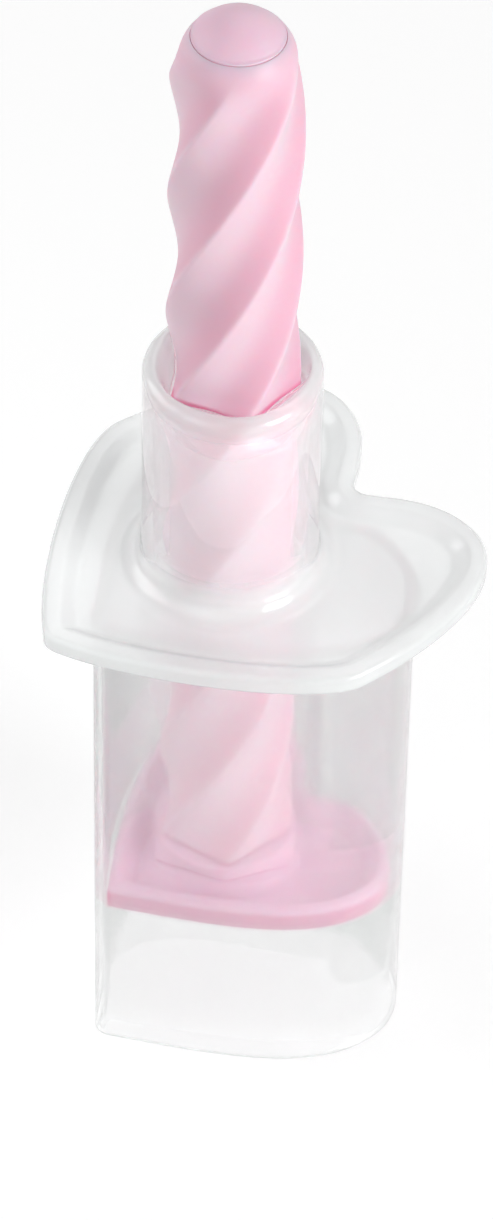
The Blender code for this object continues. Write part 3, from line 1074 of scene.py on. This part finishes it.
class TwistedProfile:
    """Geometry Nodes tree that winds a profile round the Z axis, with twisted ridges.

    The profile is a chain of points in the XZ plane. Its attribute "fluted" says how far the
    flutes are cut at each point.
    """

    SIZES = (
        ("Steps Round", "NodeSocketInt"),
        ("Ridges", "NodeSocketInt"),
        ("Flute Depth", "NodeSocketFloat"),
        ("Ridge Softness", "NodeSocketFloat"),
        ("Lead", "NodeSocketFloat"),
        ("Foot Height", "NodeSocketFloat"),
        ("Foot Angle", "NodeSocketFloat"),
        ("Plastic", "NodeSocketMaterial"),
    )
    # How the painted shade grows across a flute, how short it falls off on the next ridge, and
    # how much of it the unfluted dome has.
    CLIMB = 1.5
    FALL_OFF = 14.0
    DOME_PAINTED_SHADE = 0.375

    def __init__(self) -> None:
        """Build the tree."""
        tree = bpy.data.node_groups.new("twisted_profile", "GeometryNodeTree")
        tree.interface.new_socket("Profile", in_out="INPUT", socket_type="NodeSocketGeometry")
        for name, kind in self.SIZES:
            tree.interface.new_socket(name, in_out="INPUT", socket_type=kind)
        tree.interface.new_socket("Skin", in_out="OUTPUT", socket_type="NodeSocketGeometry")
        self.tree = tree
        given = add_node(tree, "NodeGroupInput").outputs
        grid, row, round_share = self.grid(given)
        radius, height, fluted = self.sampled(given, row)
        place_of, painted_shade = self.wound(given, radius, height, fluted, round_share)
        # Each point's share of painted shade goes to the pink plastic as an attribute.
        marked = add_node(
            tree,
            "GeometryNodeStoreNamedAttribute",
            {"data_type": "FLOAT", "domain": "POINT"},
            {"Geometry": grid, "Name": "painted_shade", "Value": painted_shade},
        )
        moved = add_node(
            tree,
            "GeometryNodeSetPosition",
            inputs={"Geometry": marked.outputs[0], "Position": place_of},
        )
        merged = add_node(
            tree,
            "GeometryNodeMergeByDistance",
            inputs={"Geometry": moved.outputs[0], "Distance": SAME_POINT},
        )
        real = add_node(
            tree, "GeometryNodeRealizeInstances", inputs={"Geometry": merged.outputs[0]}
        )
        dressed = add_node(
            tree,
            "GeometryNodeSetMaterial",
            inputs={"Geometry": real.outputs[0], "Material": given["Plastic"]},
        )
        add_node(tree, "NodeGroupOutput", inputs={"Skin": dressed.outputs[0]})

    def grid(self, given: Sockets) -> tuple[Socket, Socket, Socket]:
        """Add the flat grid that is wound up: a column for each step round, a row for each point.

        Args:
            given: The outputs of the group's input node.

        Returns:
            Sockets of the grid, of each point's row number and of its share of a turn.
        """
        tree = self.tree
        size = add_node(
            tree, "GeometryNodeAttributeDomainSize", inputs={"Geometry": given["Profile"]}
        )
        rows = size.outputs["Point Count"]
        columns = add_node(
            tree, "ShaderNodeMath", {"operation": "ADD"}, {0: given["Steps Round"], 1: 1.0}
        )
        grid = add_node(
            tree,
            "GeometryNodeMeshGrid",
            inputs={
                "Size X": 1.0,
                "Size Y": 1.0,
                "Vertices X": columns.outputs[0],
                "Vertices Y": rows,
            },
        )
        where = add_node(tree, "GeometryNodeInputPosition")
        parts = add_node(tree, "ShaderNodeSeparateXYZ", inputs={0: where.outputs[0]})
        share = add_node(
            tree, "ShaderNodeMath", {"operation": "ADD"}, {0: parts.outputs["X"], 1: 0.5}
        )
        up = add_node(
            tree, "ShaderNodeMath", {"operation": "ADD"}, {0: parts.outputs["Y"], 1: 0.5}
        )
        last = add_node(tree, "ShaderNodeMath", {"operation": "SUBTRACT"}, {0: rows, 1: 1.0})
        row = add_node(
            tree,
            "ShaderNodeMath",
            {"operation": "MULTIPLY"},
            {0: up.outputs[0], 1: last.outputs[0]},
        )
        number = add_node(tree, "ShaderNodeMath", {"operation": "ROUND"}, {0: row.outputs[0]})
        return grid.outputs["Mesh"], number.outputs[0], share.outputs[0]

    def sampled(self, given: Sockets, row: Socket) -> tuple[Socket, Socket, Socket]:
        """Add the nodes that read the profile.

        Args:
            given: The outputs of the group's input node.
            row: The socket of each point's row number.

        Returns:
            Sockets of the radius over the ridges, the height and the share of the flutes.
        """
        tree = self.tree
        where = add_node(tree, "GeometryNodeInputPosition")
        read = add_node(
            tree,
            "GeometryNodeSampleIndex",
            {"data_type": "FLOAT_VECTOR", "domain": "POINT"},
            {"Geometry": given["Profile"], "Value": where.outputs[0], "Index": row},
        )
        parts = add_node(tree, "ShaderNodeSeparateXYZ", inputs={0: read.outputs[0]})
        share = add_node(
            tree, "GeometryNodeInputNamedAttribute", {"data_type": "FLOAT"}, {"Name": "fluted"}
        )
        fluted = add_node(
            tree,
            "GeometryNodeSampleIndex",
            {"data_type": "FLOAT", "domain": "POINT"},
            {"Geometry": given["Profile"], "Value": share.outputs[0], "Index": row},
        )
        return parts.outputs["X"], parts.outputs["Z"], fluted.outputs[0]

    def wound(
        self, given: Sockets, radius: Socket, height: Socket, fluted: Socket, share: Socket
    ) -> tuple[Socket, Socket]:
        """Add the nodes that cut the flutes and wind each point round the axis.

        Args:
            given: The outputs of the group's input node.
            radius: The socket of the radius over the ridges.
            height: The socket of the height.
            fluted: The socket of the share of the flutes.
            share: The socket of each point's share of a turn.

        Returns:
            Sockets of each point's place and of its share of the painted shade.
        """
        soft = given["Ridge Softness"]
        sums: dict[str, Socket] = {}
        for name, operation, *values in (
            ("angle", "MULTIPLY", share, FULL_TURN),
            ("ridges", "MULTIPLY", "angle", given["Ridges"]),
            ("half", "MULTIPLY", "ridges", 0.5),
            ("sine", "SINE", "half"),
            ("sine squared", "MULTIPLY", "sine", "sine"),
            ("soft squared", "MULTIPLY", soft, soft),
            ("inner", "ADD", "sine squared", "soft squared"),
            ("wave", "SQRT", "inner"),
            ("rise", "SUBTRACT", "wave", soft),
            ("outer", "ADD", "soft squared", 1.0),
            ("deepest", "SQRT", "outer"),
            ("span", "SUBTRACT", "deepest", soft),
            ("shape", "DIVIDE", "rise", "span"),
            ("flute", "MULTIPLY", "shape", fluted),
            # Painted shade: grows across each flute, falls off at the next ridge, partly on the dome.
            ("period", "DIVIDE", "ridges", FULL_TURN),
            ("share", "FRACT", "period"),
            ("climb", "POWER", "share", self.CLIMB),
            ("end", "POWER", "share", self.FALL_OFF),
            ("before end", "SUBTRACT", 1.0, "end"),
            ("slope", "MULTIPLY", "climb", "before end"),
            ("cut flank", "MULTIPLY", "slope", fluted),
            ("unfluted", "SUBTRACT", 1.0, fluted),
            ("dome", "MULTIPLY", "unfluted", self.DOME_PAINTED_SHADE),
            ("painted_shade", "ADD", "cut flank", "dome"),
            ("depth", "MULTIPLY", "flute", given["Flute Depth"]),
            ("left", "SUBTRACT", 1.0, "depth"),
            ("cut", "MULTIPLY", "left", radius),
            ("risen", "SUBTRACT", height, given["Foot Height"]),
            ("turns", "DIVIDE", "risen", given["Lead"]),
            ("turn", "MULTIPLY", "turns", FULL_TURN),
            ("from foot", "ADD", "angle", "turn"),
            ("turned", "ADD", "from foot", given["Foot Angle"]),
            ("along", "COSINE", "turned"),
            ("across", "SINE", "turned"),
            ("x", "MULTIPLY", "cut", "along"),
            ("y", "MULTIPLY", "cut", "across"),
        ):
            terms = [sums[value] if isinstance(value, str) else value for value in values]
            node = add_node(
                self.tree, "ShaderNodeMath", {"operation": operation}, dict(enumerate(terms))
            )
            sums[name] = node.outputs[0]
        place_of = add_node(
            self.tree,
            "ShaderNodeCombineXYZ",
            inputs={"X": sums["x"], "Y": sums["y"], "Z": height},
        )
        return place_of.outputs[0], sums["painted_shade"]

    def apply(
        self, name: str, profile: Sequence[tuple[float, float, float]], sizes: dict[str, Any]
    ) -> bpy.types.Object:
        """Wind a profile and return the result as a plain mesh object.

        Args:
            name: The object's name.
            profile: Radius, height and share of the flutes for each point.
            sizes: A value for each named input of the tree.

        Returns:
            The finished object, with no modifier.
        """
        chain = bpy.data.meshes.new(name + "_profile")
        edges = [(k, k + 1) for k in range(len(profile) - 1)]
        chain.from_pydata([(radius, 0.0, z) for radius, z, _ in profile], edges, [])
        fluted = chain.attributes.new("fluted", "FLOAT", "POINT")
        fluted.data.foreach_set("value", [share for _, _, share in profile])
        holder = bpy.data.objects.new(name + "_profile", chain)
        bpy.context.scene.collection.objects.link(holder)
        modifier = holder.modifiers.new("wind", "NODES")
        modifier.node_group = self.tree
        for item in self.tree.interface.items_tree:
            if item.item_type == "SOCKET" and item.in_out == "INPUT" and item.name in sizes:
                modifier[item.identifier] = sizes[item.name]
        graph = bpy.context.evaluated_depsgraph_get()
        mesh = bpy.data.meshes.new_from_object(holder.evaluated_get(graph))
        mesh.name = name
        holder.modifiers.remove(modifier)
        bpy.data.objects.remove(holder)
        bpy.data.meshes.remove(chain)
        return finished(name, mesh, sizes["Plastic"])


@dataclass
class TwistHandle:
    """The hollow handle: five twisted ridges under a dome that carries the cap."""

    twist: Twist
    length: float = 236.3 * MM
    foot_radius: float = 15.3 * MM
    top_radius: float = 14.2 * MM
    dome_height: float = 18.0 * MM
    flute_depth: float = 0.170
    run_out: float = 11.2 * MM
    fade_length: float = 9.5 * MM
    foot_rounding: float = 0.7 * MM
    bore_radius: float = 8.6 * MM
    bearing_height: float = 8.0 * MM
    bearing_radius: float = 6.4 * MM
    seat_radius: float = 9.85 * MM
    seat_depth: float = 2.9 * MM
    seat_rounding: float = 0.25 * MM
    # The seat's rounding starts this share of its radius below the dome.
    seat_drop: float = 0.6
    # How finely the handle and each part of its profile are divided.
    steps_round: int = 250
    row_height: float = 1.3 * MM
    foot_steps: int = 4
    seat_steps: int = 3
    dome_rows: int = 12
    bore_rows: int = 90
    bearing_rows: int = 4

    @property
    def dome_centre(self) -> float:
        """Height of the centre of the dome."""
        return self.twist.foot + self.length - self.dome_height

    def ridge_radius(self, z: float) -> float:
        """Return the radius over the ridges, slimmer upwards, then domed.

        Args:
            z: The height.

        Returns:
            The radius.
        """
        if z > self.dome_centre:
            rise = (z - self.dome_centre) / self.dome_height
            return self.top_radius * math.sqrt(1 - rise**2)
        share = (z - self.twist.foot) / (self.dome_centre - self.twist.foot)
        return self.foot_radius + (self.top_radius - self.foot_radius) * share

    def dome(self, rise: float) -> tuple[float, float]:
        """Return radius and height of the dome's point at the angle rise from its foot."""
        height = self.dome_height * math.sin(rise)
        return self.top_radius * math.cos(rise), self.dome_centre + height

    def outside(self) -> list[tuple[float, float, float]]:
        """List the profile's points from the foot to the cap's seat.

        Returns:
            Radius, height and share of the flutes for each point.
        """
        foot, top = self.twist.foot, self.dome_centre + self.run_out
        profile = []
        for sine, cosine in quarter(self.foot_steps):
            z = foot + self.foot_rounding * (1 - cosine)
            profile.append((self.ridge_radius(z) - self.foot_rounding * (1 - sine), z, 1.0))
        low = foot + self.foot_rounding
        for share in shares(math.ceil((top - low) / self.row_height)):
            z = low + (top - low) * share
            fade = min(1.0, (top - z) / self.fade_length)
            profile.append((self.ridge_radius(z), z, eased(fade)))
        first = math.asin(self.run_out / self.dome_height)
        last = math.acos((self.seat_radius + self.seat_rounding) / self.top_radius)
        for share in shares(self.dome_rows):
            profile.append((*self.dome(first + (last - first) * share), 0.0))
        return profile

    def inside(self) -> list[tuple[float, float, float]]:
        """List the rest of the profile's points: the cap's seat, the bore and the bearing.

        Returns:
            Radius, height and share of the flutes for each point.
        """
        soft = self.seat_rounding
        edge = self.dome(math.acos(self.seat_radius / self.top_radius))[1]
        start = edge - self.seat_drop * soft
        seat = edge - self.seat_depth
        shoulder = self.twist.foot + self.bearing_height
        profile = []
        for sine, cosine in list(quarter(self.seat_steps))[1:]:
            profile.append((self.seat_radius + soft * (1 - sine), start - soft * (1 - cosine), 0.0))
        profile += [(self.seat_radius, seat, 0.0), (self.bore_radius, seat, 0.0)]
        for share in shares(self.bore_rows):
            profile.append((self.bore_radius, seat + (shoulder - seat) * share, 0.0))
        profile.append((self.bearing_radius, shoulder, 0.0))
        for share in shares(self.bearing_rows):
            profile.append((self.bearing_radius, shoulder - self.bearing_height * share, 0.0))
        return profile

    def build(self, tree: TwistedProfile, finish: bpy.types.Material) -> bpy.types.Object:
        """Build the handle and put it in its place.

        Args:
            tree: The tree that winds the profile.
            finish: The pink plastic.

        Returns:
            The handle.
        """
        profile = self.outside() + self.inside()
        profile.append(profile[0])
        obj = tree.apply(
            "fluted_twist_handle",
            profile,
            {
                "Steps Round": self.steps_round,
                "Ridges": self.twist.ridges,
                "Flute Depth": self.flute_depth,
                "Ridge Softness": self.twist.softness,
                "Lead": self.twist.lead,
                "Foot Height": self.twist.foot,
                "Foot Angle": self.twist.foot_angle,
                "Plastic": finish,
            },
        )
        return place(obj, Body.HANDLE, Slot.PINK, "twist_handle")


@dataclass
class EndCap:
    """Bare domed plug in the top of the handle."""

    handle: TwistHandle
    radius: float = 9.84 * MM
    rounding: float = 0.25 * MM
    edge: float = 2.6 * MM
    skirt_radius: float = 8.3 * MM
    skirt: float = 8.0 * MM
    wall: float = 1.8 * MM
    dome_rows: int = 20
    edge_steps: int = 4
    rays: int = 160

    def build(self, finish: bpy.types.Material) -> bpy.types.Object:
        """Build the cap and put it in its place.

        Args:
            finish: The cap's plastic.

        Returns:
            The cap.
        """
        edge = math.acos((self.radius - self.rounding) / self.handle.top_radius)
        skin = Skin(self.rays)
        skin.add(0.0, self.handle.dome_centre + self.handle.dome_height)
        for share in shares(self.dome_rows):
            skin.add(*self.handle.dome(math.pi / 2 - (math.pi / 2 - edge) * share))
        seam = self.handle.dome(edge)[1]
        bottom = seam - self.edge
        for sine, cosine in list(quarter(self.edge_steps))[1:]:
            skin.add(
                self.radius - self.rounding * (1 - sine), seam - self.rounding * (1 - cosine)
            )
        skin.add(self.radius, bottom)
        skin.add(self.skirt_radius, bottom)
        skin.add(self.skirt_radius, bottom - self.skirt)
        skin.add(self.skirt_radius - self.wall, bottom - self.skirt)
        skin.add(self.skirt_radius - self.wall, bottom)
        skin.add(0.0, bottom)
        obj = skin.close("domed_end_cap", finish)
        return place(obj, Body.HANDLE, Slot.CAP, "end_cap")


@dataclass
class PusherPlate:
    """Heart plate with a raised rim, the pad under the handle and the post it turns on."""

    bottom: float = 42.0 * MM
    inset: float = 3.0 * MM
    height: float = 7.0 * MM
    floor: float = 2.6 * MM
    rounding: float = 1.2 * MM
    rim_width: float = 6.5 * MM
    # The share of the rim's width that its rounded crest takes up.
    crest_share: float = 1 / 3
    pad_radius: float = 16.2 * MM
    pad_flare: float = 3.2 * MM
    pad_rise: float = 3.8 * MM
    pad_rounding: float = 0.5 * MM
    post_radius: float = 6.0 * MM
    post_rounding: float = 0.4 * MM
    post_top: float = 61.7 * MM
    hole_radius: float = 2.3 * MM
    hole_bottom: float = 52.7 * MM
    edge_steps: int = 5
    pad_steps: int = 4
    post_steps: int = 3
    steps: int = 8
    slope_rows: int = 12
    rays: int = 360

    def row(self, skin: Skin, inset: float, z: float) -> None:
        """Add a row of the plate's heart, moved inwards by inset from the sleeve's outline."""
        skin.add(SLEEVE_HEART.radii(inset, skin.angles), z)

    def rim(self, skin: Skin) -> None:
        """Add the underside's edge, the rim and the slope down to the floor.

        Args:
            skin: The skin that gets the rows.
        """
        top = self.bottom + self.height
        self.row(skin, self.inset + 2 * self.rounding, self.bottom)
        for sine, cosine in quarter(self.edge_steps):
            self.row(
                skin,
                self.inset + self.rounding * (1 - sine),
                self.bottom + self.rounding * (1 - cosine),
            )
        soft = self.rim_width * self.crest_share
        for sine, cosine in quarter(self.steps):
            self.row(skin, self.inset + soft * (1 - cosine), top - soft * (1 - sine))
        for share in shares(self.slope_rows):
            self.row(
                skin,
                self.inset + soft + (self.rim_width - soft) * share,
                top - (self.height - self.floor) * eased(share),
            )

    def pad(self, skin: Skin) -> None:
        """Add the flared pad, the post on it and the screw's hole.

        Args:
            skin: The skin that gets the rows.
        """
        floor = self.bottom + self.floor
        room = SLEEVE_HEART.radii(self.inset + self.rim_width, skin.angles)
        for sine, cosine in quarter(self.steps):
            widest = np.maximum(room - self.pad_rounding * (1 + sine) / 2, self.pad_radius)
            skin.add(
                np.minimum(self.pad_radius + self.pad_flare * (1 - sine), widest),
                floor + self.pad_flare * (1 - cosine),
            )
        pad_top = self.bottom + self.height + self.pad_rise
        soft = self.pad_rounding
        for sine, cosine in quarter(self.pad_steps):
            skin.add(self.pad_radius - soft * (1 - cosine), pad_top - soft * (1 - sine))
        soft = self.post_rounding
        skin.add(self.post_radius + soft, pad_top)
        skin.add(self.post_radius, pad_top)
        for sine, cosine in quarter(self.post_steps):
            skin.add(self.post_radius - soft * (1 - cosine), self.post_top - soft * (1 - sine))
        skin.add(self.hole_radius, self.post_top)
        skin.add(self.hole_radius, self.hole_bottom)
        skin.add(0.0, self.hole_bottom)

    def build(self, finish: bpy.types.Material) -> bpy.types.Object:
        """Build the plate and put it in its place.

        Args:
            finish: The pink plastic.

        Returns:
            The plate.
        """
        skin = Skin(self.rays)
        skin.add(0.0, self.bottom)
        self.rim(skin)
        self.pad(skin)
        obj = skin.close("heart_pusher_plate", finish)
        return place(obj, Body.PLUNGER, Slot.PINK, "pusher_plate")


@dataclass
class Swivel:
    """Washer and screw that hold the handle on the plate's post, kept from the frame."""

    nodes: tuple[str, ...] = ("retaining_washer", "retaining_screw")

    def dress(
        self, frame_nodes: dict[str, bpy.types.Object], finish: bpy.types.Material
    ) -> list[bpy.types.Object]:
        """Give the frame's own pieces their finish.

        Args:
            frame_nodes: The frame's nodes by name.
            finish: The turned steel.

        Returns:
            The pieces.
        """
        pieces = [frame_nodes[name] for name in self.nodes]
        for piece in pieces:
            piece.data.materials.clear()
            piece.data.materials.append(finish)
        return pieces


# Light, floor and camera


class Lamp(Enum):
    """Soft lamps: degrees to the camera's right, degrees above the table, watts and side."""

    KEY = (54.0, 20.0, 11.5, 0.60)
    FILL = (-35.0, 38.0, 3.0, 1.00)
    SIDE = (-100.0, 30.0, 6.0, 1.00)
    BACK = (165.0, 50.0, 3.0, 1.00)


@dataclass(frozen=True)
class PhotoCamera:
    """Long lens from far away, 45 degrees above the table."""

    azimuth: float = math.radians(54.681)
    elevation: float = math.radians(45.0)
    roll: float = math.radians(1.15)
    distance: float = 1.320
    target: tuple[float, float, float] = (10.595 * MM, -2.703 * MM, 129.79 * MM)
    focal_pixels: float = 6000.0
    picture_height: float = 1220.0
    sensor: float = 36.0
    nearest: float = 0.05
    farthest: float = 50.0

    def axes(self) -> tuple[Vector, Vector, Vector]:
        """Return the directions of the camera's own axes, before its roll.

        Returns:
            Its right, its up and its backward direction.
        """
        level = math.cos(self.elevation)
        back = Vector(
            (
                math.sin(self.azimuth) * level,
                -math.cos(self.azimuth) * level,
                math.sin(self.elevation),
            )
        )
        right = Vector((math.cos(self.azimuth), math.sin(self.azimuth), 0.0))
        return right, back.cross(right), back

    def build(self) -> None:
        """Build the camera and make it the scene's."""
        right, up, back = self.axes()
        data = bpy.data.cameras.new("photo_camera")
        data.sensor_width = self.sensor
        data.lens = self.focal_pixels * self.sensor / self.picture_height
        data.clip_start = self.nearest
        data.clip_end = self.farthest
        camera = bpy.data.objects.new("photo_camera", data)
        spin = Matrix((right, up, back)).transposed().to_4x4() @ Matrix.Rotation(self.roll, 4, "Z")
        camera.matrix_world = Matrix.Translation(Vector(self.target) + self.distance * back) @ spin
        bpy.context.scene.collection.objects.link(camera)
        bpy.context.scene.camera = camera


@dataclass
class Studio:
    """White table, white surroundings and soft lamps."""

    camera: PhotoCamera
    target: tuple[float, float, float] = (0.0, 0.0, 120.0 * MM)
    lamp_distance: float = 1.3
    # Strength of the surroundings as light, and of the ceiling in a reflection. The last two
    # say how steep a look up has to be to leave the white walls and to meet the ceiling alone.
    surround: float = 0.25
    ceiling: float = 0.62
    ceiling_start: float = 0.10
    ceiling_full: float = 0.75
    # The table's half side and colour, and how much its white is lifted near the object and
    # far from it.
    table_half: float = 6.0
    table_colour: str = "#D6D6D6"
    table_near: float = 0.5
    table_far: float = 2.5
    lift_near: float = 0.45
    lift_far: float = 0.85

    def world(self) -> None:
        """Set surroundings that are white to look at and give a softer light."""
        world = bpy.data.worlds.new("white_studio")
        world.use_nodes = True
        tree = world.node_tree
        tree.nodes.clear()
        any_look, straight_look = looked_at(tree)
        light = add_node(
            tree,
            "ShaderNodeBackground",
            inputs={"Color": linear(WHITE), "Strength": self.surround},
        )
        way = add_node(tree, "ShaderNodeTexCoord").outputs["Generated"]
        parts = add_node(tree, "ShaderNodeSeparateXYZ", inputs={0: way})
        ceiling = add_node(
            tree,
            "ShaderNodeMapRange",
            {"interpolation_type": "SMOOTHSTEP"},
            {
                "Value": parts.outputs["Z"],
                "From Min": self.ceiling_start,
                "From Max": self.ceiling_full,
                "To Min": 1.0,
                "To Max": self.ceiling,
            },
        )
        bright = add_node(
            tree,
            "ShaderNodeMath",
            {"operation": "MAXIMUM"},
            {0: ceiling.outputs[0], 1: straight_look},
        )
        white = add_node(
            tree,
            "ShaderNodeBackground",
            inputs={"Color": linear(WHITE), "Strength": bright.outputs[0]},
        )
        mixed = add_node(
            tree,
            "ShaderNodeMixShader",
            inputs={0: any_look, 1: light.outputs[0], 2: white.outputs[0]},
        )
        add_node(tree, "ShaderNodeOutputWorld", inputs={"Surface": mixed.outputs[0]})
        bpy.context.scene.world = world

    def floor(self) -> None:
        """Lay the table top: matt white, with the object's shadow kept."""
        material, tree = new_material("white_table")
        any_look, _ = looked_at(tree)
        place_on = add_node(tree, "ShaderNodeTexCoord").outputs["Object"]
        far = add_node(tree, "ShaderNodeVectorMath", {"operation": "LENGTH"}, {0: place_on})
        level = add_node(
            tree,
            "ShaderNodeMapRange",
            {"interpolation_type": "SMOOTHSTEP"},
            {
                "Value": far.outputs["Value"],
                "From Min": self.table_near,
                "From Max": self.table_far,
                "To Min": self.lift_near,
                "To Max": self.lift_far,
            },
        )
        glow = add_node(
            tree,
            "ShaderNodeMath",
            {"operation": "MULTIPLY"},
            {0: any_look, 1: level.outputs[0]},
        )
        matt = add_node(
            tree, "ShaderNodeBsdfDiffuse", inputs={"Color": linear(self.table_colour)}
        )
        lift = add_node(
            tree,
            "ShaderNodeEmission",
            inputs={"Color": linear(WHITE), "Strength": glow.outputs[0]},
        )
        both = add_node(
            tree, "ShaderNodeAddShader", inputs={0: matt.outputs[0], 1: lift.outputs[0]}
        )
        add_node(tree, "ShaderNodeOutputMaterial", inputs={"Surface": both.outputs[0]})
        mesh = bpy.data.meshes.new("table_top")
        half = self.table_half
        mesh.from_pydata(
            [(-half, -half, 0.0), (half, -half, 0.0), (half, half, 0.0), (-half, half, 0.0)],
            [],
            [(0, 1, 2, 3)],
        )
        mesh.materials.append(material)
        table = bpy.data.objects.new("table_top", mesh)
        bpy.context.scene.collection.objects.link(table)

    def hang(self, lamp: Lamp) -> None:
        """Hang one soft lamp, turned to the object.

        Args:
            lamp: Which one.
        """
        bearing, height, power, size = lamp.value
        level = math.cos(math.radians(height))
        angle = self.camera.azimuth - math.pi / 2 + math.radians(bearing)
        way = Vector(
            (level * math.cos(angle), level * math.sin(angle), math.sin(math.radians(height)))
        )
        data = bpy.data.lights.new(f"{lamp.name.lower()}_lamp", "AREA")
        data.shape = "SQUARE"
        data.size = size
        data.energy = power
        obj = bpy.data.objects.new(data.name, data)
        turn = (-way).to_track_quat("-Z", "Y").to_matrix().to_4x4()
        obj.matrix_world = Matrix.Translation(Vector(self.target) + way * self.lamp_distance) @ turn
        bpy.context.scene.collection.objects.link(obj)

    def build(self) -> None:
        """Build the surroundings, the table and the lamps."""
        self.world()
        self.floor()
        for lamp in Lamp:
            self.hang(lamp)


def main() -> None:
    """Build and dress every piece, then light and frame the scene."""
    logging.basicConfig(level=logging.INFO, format="%(name)s: %(message)s")
    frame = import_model()
    bpy.context.scene.view_settings.view_transform = "Standard"

    clear = NaturalPolypropylene().build()
    pink = PinkPlastic(*Pink.HANDLE.value).build()
    cap = PinkPlastic(*Pink.CAP.value).build()
    plate = PinkPlastic(*Pink.PLATE.value).build()
    steel = TurnedSteel().build()

    twist = Twist()
    handle = TwistHandle(twist)
    pieces = [
        CutterBody(twist).build(clear),
        handle.build(TwistedProfile(), pink),
        EndCap(handle).build(cap),
        PusherPlate().build(plate),
        *Swivel().dress(frame["nodes"], steel),
    ]
    for piece in pieces:
        finish = piece.data.materials[0].name
        log.info("%s: %d faces, %s", piece.name, len(piece.data.polygons), finish)

    camera = PhotoCamera()
    camera.build()
    Studio(camera).build()


if __name__ == "__main__":
    main()
